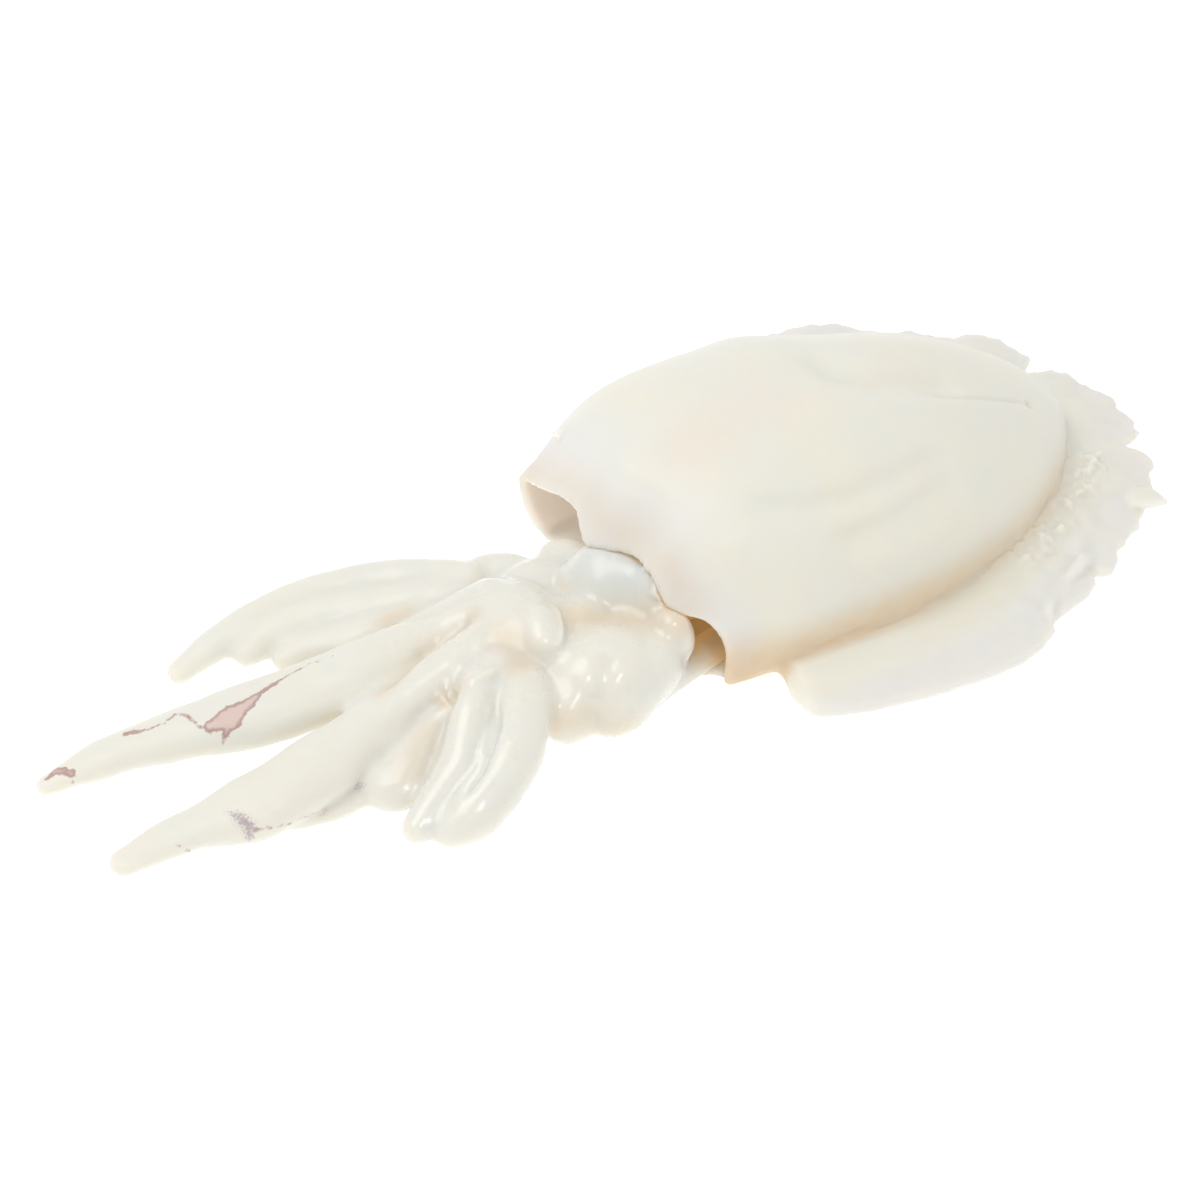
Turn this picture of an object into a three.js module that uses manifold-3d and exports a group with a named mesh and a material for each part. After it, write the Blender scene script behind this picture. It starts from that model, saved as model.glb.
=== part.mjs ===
// A cleaned, skinned cuttlefish lying on its underside: the mantle, a hollow pouch with a ragged fin round its
// base, and the head with its arms, cut free of the mantle and tucked back into the pouch's mouth.
// Millimetres, +Z up. While it is shaped, x = 0 is the mouth of the mantle, +X runs on to the tail, -Y is the
// near side and z = 0 is the table that the soft flesh has settled on.
import * as THREE from "three";
import { mergeVertices } from "three/addons/utils/BufferGeometryUtils.js";
import Module from "manifold-3d";

const wasm = await Module();
wasm.setup();

// The mantle and the pouch in it. Stations along it run from 0 at the mouth to 1 at the tail.
const MANTLE = { length: 126, halfWidth: 42, middleY: -3, height: 45, fullness: 0.8 };
const POUCH = { wall: 5.5, floor: 4, endStation: 0.8 };
// Where the plan is widest and the back is highest, what is left of both at the mouth, and how they fall away.
const PLAN = { station: 0.36, atMouth: 0.92, rise: 2, taper: 2.3, roundness: 0.68 };
const BACK = { station: 0.34, atMouth: 0.64, rise: 3.5, taper: 1.9, roundness: 0.85 };
// Height of the widest line of the cross-section: along the body, and at the near and far side of the mouth.
// Below it the flanks turn under this many times as steeply as an ellipse.
const WAIST = { body: 9, mouthNear: 3, mouthFar: 16, turnUnder: 2.4 };
// The stretch that the mouth distorts, as a share of the length, and how far its far side is drawn in.
const MOUTH = { reach: 0.24, farDrawnIn: 7 };
// How far the lip stands forward (-) or back (+) of the mouth's plane, every 60 degrees round it:
// far side, far shoulder, near shoulder, near side, near underside, far underside.
const LIP_OFFSETS = [-4, -3, 3, 12, -8, 4];

// Shallow folds of the mantle's back, each a dip along a straight line of the plan, in the outer skin alone.
const FOLDS = [
  { from: [28, -20], to: [88, -21], width: 5, depth: 1.4 },
  { from: [44, -32], to: [92, -25], width: 4, depth: 1.3 },
  { from: [55, 10], to: [88, -11], width: 6, depth: 1.8 },
];
const FOLDED_SKIN = 0.05;

// The fin. Its border's widths run from the near front corner round the tail to the far one, at even turns.
const FIN = { sweep: 80, rootThickness: 6, edgeThickness: 3, inset: 7, nearRise: 2, farRise: 5 };
const FIN_WIDTHS = [12, 22, 24, 20.5, 22, 20, 20, 18, 24, 23.5, 24, 18, 9];
// The border waves up and down, and its edge is uneven: how much, and the waves that make it up.
const FRILL = {
  height: 1.6,
  waves: [
    { pace: 23, share: 0.6, start: 0 },
    { pace: 41, share: 0.4, start: 2 },
  ],
};
const RAGGED_EDGE = {
  depth: 0.6,
  waves: [
    { pace: 31, share: 1, start: 0 },
    { pace: 53, share: 0.7, start: 1 },
    { pace: 97, share: 0.5, start: 2 },
  ],
};
// Tears in the border: where (-1 near front, 0 tail, 1 far front), how deep and how wide.
const FIN_TEARS = [
  { at: -0.53, depth: 2.5, width: 0.014 },
  { at: -0.39, depth: 2, width: 0.02 },
  { at: -0.26, depth: 3, width: 0.014 },
  { at: -0.15, depth: 5, width: 0.025 },
  { at: 0.06, depth: 2.5, width: 0.02 },
  { at: 0.19, depth: 7, width: 0.03 },
];

// The head's swellings: the neck in the mouth, the brow, the near eye, the cheek, the crown and a torn flap.
const HEAD_LUMPS = [
  { centre: [10, -10, 10], half: [20, 18, 11] },
  { centre: [-8, -13, 12], half: [19, 23, 14] },
  { centre: [-12, -35, 9], half: [13, 11, 10] },
  { centre: [-25, -33, 7], half: [12, 9, 9] },
  { centre: [-28, -12, 11], half: [15, 20, 11] },
  { centre: [-25, -21, 17], half: [6, 6, 5] },
  { centre: [-9, 4, 15], half: [9, 5, 4] },
];

// The arms, far side to near: points that the middle of each follows from the crown to its tip, its full
// widths at even steps, and its thickness as a share of its width. The sixth is the web of the near arms.
const ARMS = [
  { path: [[-20, 6, 12], [-47, 22, 8], [-80, 26, 5], [-98, 21, 3]], widths: [13, 13, 12, 6], flat: 0.8 },
  { path: [[-24, 3, 13], [-43, 12, 10], [-68, 20, 7], [-84, 20, 4]], widths: [13, 12, 11, 7], flat: 0.8 },
  { path: [[-30, 0, 12], [-47, 8, 9], [-62, 12, 6], [-76, 15, 4]], widths: [13, 13, 12, 7], flat: 0.8 },
  { path: [[-20, -6, 16], [-56, -2, 9], [-98, 1, 6], [-137, 5, 2.5]], widths: [13, 19, 19, 5], flat: 0.65 },
  { path: [[-28, -14, 16], [-58, -15, 11], [-92, -23, 6], [-133, -26, 3]], widths: [13, 19, 23, 8], flat: 0.6 },
  { path: [[-40, -20, 11], [-54, -26, 8], [-66, -32, 5], [-76, -39, 3]], widths: [16, 20, 20, 11], flat: 0.6 },
  { path: [[-36, -23, 14], [-48, -31, 12], [-62, -41, 7], [-76, -48, 3]], widths: [11, 12, 11, 7], flat: 0.8 },
  { path: [[-33, -28, 13], [-42, -40, 12], [-54, -49, 8], [-70, -52, 3]], widths: [12, 14, 15, 8], flat: 0.8 },
  { path: [[-14, 0, 12], [-20, 6, 11], [-27, 11, 9], [-36, 13, 6]], widths: [12, 12, 11, 8], flat: 0.8 },
];

// The flesh sinks this far into the table before it is cut flat there, and the head is cut clear of the mantle.
const TABLE_SINK = 1.5;
const GAP = 0.6;
const TABLE = { side: 600, depth: 100 };
const FLESH = { colour: 0xefeadd, mantleRoughness: 0.4, headRoughness: 0.25 };
// How finely the forms are divided.
const POUCH_STEPS = { outerWall: 18, lip: 4, innerWall: 9, round: 48 };
const FIN_STEPS = { along: 110, across: 4 };
const ARM_STEPS = { cap: 4, round: 12, along: 9 };
const LUMP_STEPS = { round: 20, rings: 10 };

const clamp01 = (t) => Math.min(1, Math.max(0, t));
const smooth = (t) => clamp01(t) ** 2 * (3 - 2 * clamp01(t));
const mix = THREE.MathUtils.lerp;

// A value that runs smoothly through evenly spaced ones, round and round or from first to last.
function through(values, t, closed) {
  const n = values.length;
  const at = closed ? (((t % 1) + 1) % 1) * n : clamp01(t) * (n - 1);
  const i = Math.min(Math.floor(at), closed ? n - 1 : n - 2);
  return mix(values[i], values[(i + 1) % n], smooth(at - i));
}

function moveVertices(geometry, place) {
  const positions = geometry.getAttribute("position");
  const vertex = new THREE.Vector3();
  for (let i = 0; i < positions.count; i++) {
    vertex.fromBufferAttribute(positions, i);
    place(vertex);
    positions.setXYZ(i, vertex.x, vertex.y, vertex.z);
  }
  return geometry;
}

function solidOf(geometry) {
  const bare = geometry.clone();
  bare.deleteAttribute("normal");
  bare.deleteAttribute("uv");
  const merged = mergeVertices(bare, 1e-4);
  const vertProperties = merged.attributes.position.array;
  const triVerts = new Uint32Array(merged.index.array);
  return new wasm.Manifold(new wasm.Mesh({ numProp: 3, vertProperties, triVerts }));
}

function geometryOf(solid) {
  const mesh = solid.getMesh();
  const geometry = new THREE.BufferGeometry();
  geometry.setAttribute("position", new THREE.BufferAttribute(mesh.vertProperties, 3));
  geometry.setIndex(new THREE.BufferAttribute(mesh.triVerts, 1));
  geometry.computeVertexNormals();
  return geometry;
}

// A share that swells from the mouth to its full value and falls away to nothing at the tail.
function swelling({ station, atMouth, rise, taper, roundness }, a) {
  return a > station
    ? (1 - clamp01((a - station) / (1 - station)) ** taper) ** roundness
    : 1 - (1 - atMouth) * ((station - a) / station) ** rise;
}

const halfWidthAt = (a) => MANTLE.halfWidth * swelling(PLAN, a);

function distanceToLine(x, y, [x0, y0], [x1, y1]) {
  const t = clamp01(((x - x0) * (x1 - x0) + (y - y0) * (y1 - y0)) / ((x1 - x0) ** 2 + (y1 - y0) ** 2));
  return Math.hypot(x - mix(x0, x1, t), y - mix(y0, y1, t));
}

const bell = (distance, width) => Math.exp(-((distance / width) ** 2));
const wavesAt = (waves, t) =>
  waves.reduce((sum, { pace, share, start }) => sum + share * Math.sin(pace * t + start), 0);
const foldDepth = (x, y) =>
  FOLDS.reduce((sum, { from, to, width, depth }) => {
    return sum + depth * bell(distanceToLine(x, y, from, to), width);
  }, 0);

// The pouch as a cup turned on its own axis: along the outer wall from the tail, over the lip and back along
// the inner wall. It is as wide as the mantle but only one long, and grown all round by a clearance.
function cupProfile(grown) {
  const wall = POUCH.wall + 2 * grown;
  const points = [];
  for (let i = 0; i <= POUCH_STEPS.outerWall; i++) {
    const a = Math.cos((i / POUCH_STEPS.outerWall) * (Math.PI / 2));
    points.push(new THREE.Vector2(i === 0 ? 0 : halfWidthAt(a) + grown, a));
  }
  for (let i = 1; i < POUCH_STEPS.lip; i++) {
    const turn = (i / POUCH_STEPS.lip) * Math.PI;
    const inwards = (wall / 2) * (1 - Math.cos(turn));
    const forwards = (wall / 2) * Math.sin(turn);
    points.push(new THREE.Vector2(halfWidthAt(0) + grown - inwards, -forwards / MANTLE.length));
  }
  for (let i = 0; i <= POUCH_STEPS.innerWall; i++) {
    const share = Math.sin((i / POUCH_STEPS.innerWall) * (Math.PI / 2));
    const a = share * POUCH.endStation;
    const radius = (halfWidthAt(a) + grown - wall) * Math.sqrt(1 - share ** 2);
    points.push(new THREE.Vector2(i === POUCH_STEPS.innerWall ? 0 : radius, a));
  }
  return points;
}

// Presses the round cup into the mantle on the table: domed above, flat below, its mouth drawn to one side.
function pressMantle(vertex, grown) {
  const a = vertex.y;
  const radius = Math.hypot(vertex.x, vertex.z);
  const onAxis = radius < 1e-6;
  const side = onAxis ? 0 : vertex.x / radius;
  const lift = onAxis ? 0 : vertex.z / radius;
  const outer = Math.max(halfWidthAt(a), 1e-6);
  const share = onAxis ? 0 : radius / outer;
  const mouth = smooth(1 - a / MOUTH.reach);
  const far = (1 + side) / 2;
  const waist = mix(WAIST.body, mix(WAIST.mouthNear, WAIST.mouthFar, far), mouth);
  const turn = Math.atan2(lift, side) / (2 * Math.PI);
  const x = a * MANTLE.length + mouth * through(LIP_OFFSETS, turn, true);
  const y = MANTLE.middleY + radius * side - mouth * MOUTH.farDrawnIn * far * share;
  if (lift > 0) {
    const top = (MANTLE.height - WAIST.body) * swelling(BACK, a) + WAIST.body - waist;
    const onOuterWall = smooth(1 - (1 - share) / FOLDED_SKIN);
    const dome = waist + share * top * lift ** MANTLE.fullness;
    vertex.set(x, y, dome - onOuterWall * smooth(2 * lift) * foldDepth(x, y));
  } else {
    const inWall = clamp01(((1 - share) * MANTLE.halfWidth) / POUCH.wall);
    const floor = Math.min(waist, mix(-TABLE_SINK, POUCH.floor, inWall) + grown);
    vertex.set(x, y, Math.max(floor, waist + WAIST.turnUnder * waist * share * lift));
  }
}

function pouch(grown) {
  const cup = new THREE.LatheGeometry(cupProfile(grown), POUCH_STEPS.round);
  return solidOf(moveVertices(cup, (vertex) => pressMantle(vertex, grown)));
}

// The fin's root on the mantle's base, and the width of the free border, at t from -1 (near) to 1 (far).
function finRoot(t) {
  const a = Math.cos(t * THREE.MathUtils.degToRad(FIN.sweep));
  return new THREE.Vector2(a * MANTLE.length, MANTLE.middleY + Math.sign(t) * halfWidthAt(a));
}

function finWidth(t) {
  const torn = FIN_TEARS.reduce((sum, { at, depth, width }) => sum + depth * bell(t - at, width), 0);
  return through(FIN_WIDTHS, (t + 1) / 2, false) + RAGGED_EDGE.depth * wavesAt(RAGGED_EDGE.waves, t) - torn;
}

function finSheet() {
  const place = (vertex) => {
    const t = -2 * vertex.x;
    const across = vertex.y + 0.5;
    const nudge = 0.02;
    const root = finRoot(t);
    const along = finRoot(t + nudge).sub(finRoot(t - nudge)).normalize();
    const reach = mix(-FIN.inset, finWidth(t), across);
    const thickness = mix(FIN.rootThickness, FIN.edgeThickness, smooth(across));
    const frill = FRILL.height * across ** 2 * wavesAt(FRILL.waves, t);
    const middle = mix(FIN.nearRise, FIN.farRise, smooth((t + 1) / 2)) + frill;
    vertex.set(root.x + along.y * reach, root.y - along.x * reach, middle + vertex.z * thickness);
  };
  return solidOf(moveVertices(new THREE.BoxGeometry(1, 1, 1, FIN_STEPS.along, FIN_STEPS.across, 1), place));
}

function headLump({ centre, half }) {
  const lump = new THREE.SphereGeometry(1, LUMP_STEPS.round, LUMP_STEPS.rings);
  return solidOf(lump.rotateX(Math.PI / 2).scale(...half).translate(...centre));
}

// An arm: a capsule carried along its curve, flattened and tapered.
function arm({ path, widths, flat }) {
  const curve = new THREE.CatmullRomCurve3(path.map((point) => new THREE.Vector3(...point)));
  const radius = 0.1;
  const up = new THREE.Vector3(0, 0, 1);
  const place = (vertex) => {
    const t = clamp01(vertex.y + 0.5);
    const half = through(widths, t, false) / 2;
    const forward = curve.getTangent(t);
    const side = new THREE.Vector3().crossVectors(forward, up).normalize();
    const above = new THREE.Vector3().crossVectors(side, forward);
    const onCurve = curve.getPoint(t);
    onCurve.addScaledVector(side, (vertex.x / radius) * half);
    vertex.copy(onCurve.addScaledVector(above, (vertex.z / radius) * half * flat));
  };
  const { cap, round, along } = ARM_STEPS;
  const capsule = new THREE.CapsuleGeometry(radius, 1 - 2 * radius, cap, round, along);
  return solidOf(moveVertices(capsule, place));
}

const slab = new THREE.BoxGeometry(TABLE.side, TABLE.side, TABLE.depth);
const table = solidOf(slab.translate(0, 0, -TABLE.depth / 2));
const joinAll = (solids) => solids.reduce((joined, solid) => joined.add(solid));
const flesh = (roughness) => new THREE.MeshStandardMaterial({ color: FLESH.colour, roughness, metalness: 0 });

function pieceOf(name, solid, roughness) {
  const piece = new THREE.Mesh(geometryOf(solid.subtract(table)), flesh(roughness));
  piece.name = name;
  return piece;
}

const headAndArms = joinAll([...HEAD_LUMPS.map(headLump), ...ARMS.map(arm)]);
const cuttlefish = new THREE.Group();
cuttlefish.add(pieceOf("mantle", pouch(0).add(finSheet()), FLESH.mantleRoughness));
cuttlefish.add(pieceOf("head", headAndArms.subtract(pouch(GAP)), FLESH.headRoughness));

// The finished part's origin is on the table, under the middle of its box.
const middle = new THREE.Box3().setFromObject(cuttlefish).getCenter(new THREE.Vector3());
cuttlefish.position.set(-middle.x, -middle.y, 0);

export default cuttlefish;
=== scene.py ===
# %% [markdown]
# # A cleaned cuttlefish
# The animal has been gutted and skinned, and it lies on its underside. It is two pieces of flesh: the mantle,
# a hollow pouch with a ragged fin round its base, and the head with its arms, which was cut free and tucked
# back into the mouth of the pouch. Flesh has no edges to bevel and no panels to bolt on, so the lesson works
# as a sculptor does. Plain closed forms come from bmesh operators, they are fused into one skin, and the skin
# is then pressed, creased, torn and coloured by short functions of where each point lies.

import math

import bmesh
import bpy
import numpy as np
from mathutils import Matrix, Vector, noise
from mathutils.bvhtree import BVHTree


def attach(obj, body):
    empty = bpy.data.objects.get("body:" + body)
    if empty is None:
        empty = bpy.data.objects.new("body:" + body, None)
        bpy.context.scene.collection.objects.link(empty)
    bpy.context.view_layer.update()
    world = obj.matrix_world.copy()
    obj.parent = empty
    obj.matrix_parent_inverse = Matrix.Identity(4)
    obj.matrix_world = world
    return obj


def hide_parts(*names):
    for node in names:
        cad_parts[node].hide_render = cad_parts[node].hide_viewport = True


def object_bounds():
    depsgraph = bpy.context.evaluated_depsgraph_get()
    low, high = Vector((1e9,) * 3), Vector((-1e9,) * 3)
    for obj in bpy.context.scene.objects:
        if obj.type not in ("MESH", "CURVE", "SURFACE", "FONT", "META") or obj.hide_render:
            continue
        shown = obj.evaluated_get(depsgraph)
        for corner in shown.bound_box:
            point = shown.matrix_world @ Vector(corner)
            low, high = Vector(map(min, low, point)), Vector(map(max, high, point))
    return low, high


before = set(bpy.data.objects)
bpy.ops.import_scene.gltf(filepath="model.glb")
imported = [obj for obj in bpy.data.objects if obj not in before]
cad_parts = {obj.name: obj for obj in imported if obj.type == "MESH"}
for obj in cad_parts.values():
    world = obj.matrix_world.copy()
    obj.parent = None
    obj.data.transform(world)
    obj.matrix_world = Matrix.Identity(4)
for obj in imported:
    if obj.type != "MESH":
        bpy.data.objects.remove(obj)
cad_low, cad_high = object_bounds()
print("frame box in mm", [round(1000 * side) for side in cad_high - cad_low])

# %% [markdown]
# ## Where things are
# The frame is in metres and starts under the middle of the box, which says little about an animal. The shapes
# are easier to follow in millimetres from a landmark on the body: x = 0 is the mouth of the mantle, +X runs to
# the tail, -Y is the near side and z = 0 the table. The longest arm and the near fin touch two sides of the
# box, and that is enough to carry every finished mesh into the frame.

# %% From the animal's millimetres to the frame's metres
LONGEST_ARM = 137.0
NEAR_FIN_REACH = 67.6
METRES_PER_MM = 0.001

box_corner = Vector((-LONGEST_ARM, -NEAR_FIN_REACH, 0.0))
to_frame = Matrix.Translation(cad_low) @ Matrix.Scale(METRES_PER_MM, 4) @ Matrix.Translation(-box_corner)
print("mouth of the mantle in the frame", [round(c, 4) for c in to_frame @ Vector()])


# %% Curves that the shapes are drawn with
def smooth(t):
    """Eases from 0 to 1."""
    t = np.clip(t, 0, 1)
    return t * t * (3 - 2 * t)


def ramp(value, start, full):
    """Eases from 0 to 1 while a value goes from start to full, which may be the lower of the two."""
    return smooth((value - start) / (full - start))


def mix(a, b, t):
    return a + (b - a) * t


def bell(distance, width):
    return np.exp(-((distance / width) ** 2))


def through(values, t):
    """A value that eases through evenly spaced ones."""
    values = np.asarray(values, float)
    at = np.clip(t, 0, 1) * (len(values) - 1)
    first = np.minimum(at.astype(int), len(values) - 2)
    return mix(values[first], values[first + 1], smooth(at - first))


def cubic(a, b, c, d, t):
    """The smooth curve from b to c between their neighbours a and d."""
    return b + t / 2 * (c - a + t * (2 * a - 5 * b + 4 * c - d + t * (3 * (b - c) + d - a)))


def round_and_round(values, turn):
    """A value that runs smoothly through evenly spaced ones and back to the first."""
    values = np.asarray(values, float)
    at = np.mod(turn, 1) * len(values)
    first = np.floor(at).astype(int)
    return cubic(*(values[(first + k) % len(values)] for k in (-1, 0, 1, 2)), at - first)


def distance_to_path(points, path):
    """Distance of each point to a path of straight stretches, and how far along it the nearest place is."""
    path = np.array(path, float)
    nearest = np.full(len(points), np.inf)
    along = np.zeros(len(points))
    for i, (start, end) in enumerate(zip(path, path[1:])):
        run = end - start
        share = np.clip((points - start) @ run / (run @ run), 0, 1)
        apart = np.linalg.norm(points - start - share[:, None] * run, axis=1)
        along = np.where(apart < nearest, (i + share) / (len(path) - 1), along)
        nearest = np.minimum(nearest, apart)
    return nearest, along


# %% [markdown]
# ## The pouch
# The mantle is a bag of muscle, open at the front. A bag is a turned form that somebody has sat on, so its
# outline is drawn once as a cup's and spun into a closed shell with a wall, a lip and an inside. A second
# function then presses the round cup on the table: domed above, flat below, and its mouth drawn to one side.
# Turning a lathe profile keeps the wall even, which a solid with a hole cut into it would not.

# %% How the mantle swells along its length
MANTLE_LENGTH = 126
MANTLE_HALF_WIDTH = 42
MANTLE_HEIGHT = 45
MANTLE_MIDDLE_Y, TAIL_MIDDLE_Y = -3, -1.5
NEAR_FULLNESS = 0.8
# How boxy the far side is at even steps from the mouth to the tail; a lower number is fuller.
FAR_FULLNESS = [0.6, 0.58, 0.62, 1.25, 1.4, 0.75]
PLAN_SWELLING = dict(station=0.36, at_mouth=0.92, rise=2, taper=2.3, roundness=0.68)
BACK_SWELLING = dict(station=0.34, at_mouth=0.64, rise=3.5, taper=2.1, roundness=0.75)


def swelling(share, station, at_mouth, rise, taper, roundness):
    """Grows from the mouth to 1 at a station, then falls away to nothing at the tail."""
    behind = np.clip((share - station) / (1 - station), 0, 1)
    before = np.clip((station - share) / station, 0, None)
    tapering = (1 - behind**taper) ** roundness
    return np.where(share > station, tapering, 1 - (1 - at_mouth) * before**rise)


def half_width(share):
    return MANTLE_HALF_WIDTH * swelling(share, **PLAN_SWELLING)


def middle_y(share):
    return mix(MANTLE_MIDDLE_Y, TAIL_MIDDLE_Y, smooth(share))


print("half widths in mm", half_width(np.linspace(0, 1, 6)).round(1))

# %% The cup's outline, spun
WALL, LIP_WALL = 5.5, 2.8
LIP_TAPER = 0.16
POUCH_FLOOR = 4
POUCH_END = 0.8
OUTER_STEPS, LIP_STEPS, INNER_STEPS, ROUND_STEPS = 60, 8, 30, 144
SAME_PLACE = 1e-5


def cup_outline(grown):
    """Radius and station along the outer wall from the tail, over the lip and down the inner wall."""
    quarter = math.pi / 2
    lip = LIP_WALL + 2 * grown
    outer = np.cos(np.linspace(0, quarter, OUTER_STEPS))
    outline = list(zip(half_width(outer) + grown * (outer < 1), outer))
    for turn in np.linspace(0, math.pi, LIP_STEPS + 2)[1:-1]:
        inwards = lip / 2 * (1 - math.cos(turn))
        forwards = lip / 2 * math.sin(turn)
        outline.append((half_width(0) + grown - inwards, -forwards / MANTLE_LENGTH))
    inner = np.sin(np.linspace(0, quarter, INNER_STEPS))
    station = inner * POUCH_END
    wall = mix(LIP_WALL, WALL, smooth(station / LIP_TAPER)) + grown
    return outline + list(zip((half_width(station) - wall) * np.sqrt(1 - inner**2), station))


def spun_cup(grown):
    cup = bmesh.new()
    rim = [cup.verts.new((radius, station, 0)) for radius, station in cup_outline(grown)]
    edges = [cup.edges.new(pair) for pair in zip(rim, rim[1:])]
    turn = dict(cent=(0, 0, 0), axis=(0, 1, 0), angle=math.tau, steps=ROUND_STEPS)
    bmesh.ops.spin(cup, geom=rim + edges, use_merge=True, **turn)
    bmesh.ops.remove_doubles(cup, verts=cup.verts, dist=SAME_PLACE)
    bmesh.ops.recalc_face_normals(cup, faces=cup.faces)
    return cup


def move_vertices(verts, place):
    points = np.array([vertex.co for vertex in verts])
    for vertex, point in zip(verts, place(points)):
        vertex.co = point


# %% The cup pressed on the table
WAIST = 9
WAIST_AT_MOUTH_NEAR, WAIST_AT_MOUTH_FAR = 3, 16
TURN_UNDER = 2.4
MOUTH_REACH = 0.24
FAR_SIDE_DRAWN_IN = 7
# How far the lip stands back, and how far it has sunk, every 15 degrees from the far side over the back.
LIP_OFFSETS = [
    -4, -4, -3, -3, -3, -3.5, -5.5, 0, 0.5, 1.5, 7.5, 10.5, 10, 11, 12, 4, -4, -5, -5, -4, 0, 0, 2, -2,
]
LIP_DROPS = [0, 3, 5, 4.5, 2.5, 1.5, 5, 2.5, 0.5, 3, 0] + [0] * 13
LIP_DROP_REACH = 0.08
SINK = 1.5


def pressed(points, grown):
    across, share, up = points.T
    radius = np.hypot(across, up)
    side, lift = (offset / np.maximum(radius, SAME_PLACE) for offset in (across, up))
    out = np.where(radius < SAME_PLACE, 0, radius / np.maximum(half_width(share), SAME_PLACE))
    mouth = smooth(1 - share / MOUTH_REACH)
    far = (1 + side) / 2
    waist = mix(WAIST, mix(WAIST_AT_MOUTH_NEAR, WAIST_AT_MOUTH_FAR, far), mouth)
    turn = np.arctan2(lift, side) / math.tau
    x = share * MANTLE_LENGTH + mouth * round_and_round(LIP_OFFSETS, turn)
    y = middle_y(share) + radius * side - mouth**2 * FAR_SIDE_DRAWN_IN * far * out
    top = (MANTLE_HEIGHT - WAIST) * swelling(share, **BACK_SWELLING) + WAIST - waist
    fullness = mix(NEAR_FULLNESS, through(FAR_FULLNESS, share), smooth(far))
    arch = top * np.clip(lift, 0, 1) ** fullness
    deep = np.clip(half_width(share) - radius, 0, WALL) * lift
    dome = waist + out * arch - np.clip(deep - (1 - out) * arch, 0, None)
    dome = dome - round_and_round(LIP_DROPS, turn) * smooth(1 - share / LIP_DROP_REACH)
    in_wall = np.clip((1 - out) * MANTLE_HALF_WIDTH / WALL, 0, 1)
    floor = np.minimum(waist, mix(-SINK, POUCH_FLOOR, in_wall) + grown)
    under = np.maximum(floor, waist + TURN_UNDER * waist * out * lift)
    return np.stack([x, y, np.where(lift > 0, dome, under)], -1)


def pouch(grown=0.0):
    cup = spun_cup(grown)
    move_vertices(cup.verts, lambda points: pressed(points, grown))
    return cup


mantle_form = pouch()
print("pouch", len(mantle_form.faces), "faces")

# %% [markdown]
# ## The fin
# A soft skirt of muscle runs round the base of the mantle from one front corner past the tail to the other. It
# lies on the table, thick at its root and thin at its border, where it frays and tears. A sheet with thickness
# would have square edges, so the fin is a ball drawn out along the mantle's base: the ball's poles become its
# two front ends, and each ring of the ball becomes one rounded section.


# %% A ball drawn out
def drawn_out_ball(form, round_steps, long_steps, place):
    """place gets each point's share of the way from pole to pole and its turn about the axis."""
    ball = bmesh.ops.create_uvsphere(form, u_segments=round_steps, v_segments=long_steps, radius=1)

    def along_path(points):
        way = np.arccos(np.clip(points[:, 2], -1, 1)) / math.pi
        return place(way, np.arctan2(points[:, 1], points[:, 0]))

    move_vertices(ball["verts"], along_path)


# %% Rounded forms along a curve
ROUND_AND_LONG = 28, 90
LENGTH_STEPS = 50
NUDGE = 0.02


def on_curve(path, way):
    """Points of the smooth curve that runs through a path's corners."""
    corners = np.array(path, float)
    ends = 2 * corners[[0, -1]] - corners[[1, -2]]
    corners = np.vstack([ends[:1], corners, ends[1:]])
    at = np.clip(way, 0, 1) * (len(path) - 1)
    first = np.minimum(at.astype(int), len(path) - 2)
    return cubic(*(corners[first + k] for k in range(4)), (at - first)[:, None])


def unit(vectors):
    return vectors / np.linalg.norm(vectors, axis=1, keepdims=True)


def section_point(path, widths, flatness, way, turn):
    stretches = np.diff(on_curve(path, np.linspace(0, 1, LENGTH_STEPS)), axis=0)
    length = np.linalg.norm(stretches, axis=1).sum()
    tip = widths[-1] / 2 / length
    root = widths[0] / 2 / length
    to_end = np.clip((way - 1 + tip) / tip, 0, 1)
    to_root = np.clip((root - way) / root, 0, 1)
    rounding = np.sqrt(np.clip(1 - to_end**2 - to_root**2, 0, 1))
    half = through(widths, way) / 2 * rounding
    forward = unit(on_curve(path, way + NUDGE) - on_curve(path, way - NUDGE))
    side = unit(np.cross(forward, (0, 0, 1)))
    above = np.cross(side, forward)
    offset = side * np.cos(turn)[:, None] + above * (flatness * np.sin(turn))[:, None]
    return on_curve(path, way) + offset * half[:, None]


def draw_out(form, path, widths, flatness):
    """Adds a ball drawn out along a path; widths lie at even steps, and flatness is thickness over width."""
    drawn_out_ball(form, *ROUND_AND_LONG, lambda *at: section_point(path, widths, flatness, *at))


# %% The fin's border and its tears
FIN_SWEEP = math.radians(79)
# The free border in plan from the near front past the tail to the far front, with its lobes and tears.
FIN_BORDER = [
    (21, -53), (25, -58), (31, -61), (40, -64), (50, -66.5), (61, -67.5), (70, -67), (78, -65),
    (83, -62.5), (85, -60), (93, -57.5), (101, -54), (102, -51.5), (105, -53), (108, -51.5), (112, -48),
    (118, -44), (123, -40.5), (130, -36), (134, -30.5), (138, -25), (135.5, -18), (140, -16.5),
    (143.5, -13), (144.5, -8), (143, 2), (139, 11.5), (136, 15.5), (130, 17), (135, 18), (135.5, 23.5),
    (130.5, 31), (117, 39), (100, 50.5), (91, 54), (80, 57), (66, 58.5), (50, 57), (36, 52), (26, 45),
]
BORDER_STEPS = 1500


def fin_root(t):
    """Where the fin grows from the mantle; t is -1 at the near front, 0 at the tail and 1 at the far front."""
    share = np.cos(t * FIN_SWEEP)
    y = middle_y(share) + np.sign(t) * half_width(share)
    return np.stack([share * MANTLE_LENGTH, y], -1)


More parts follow.
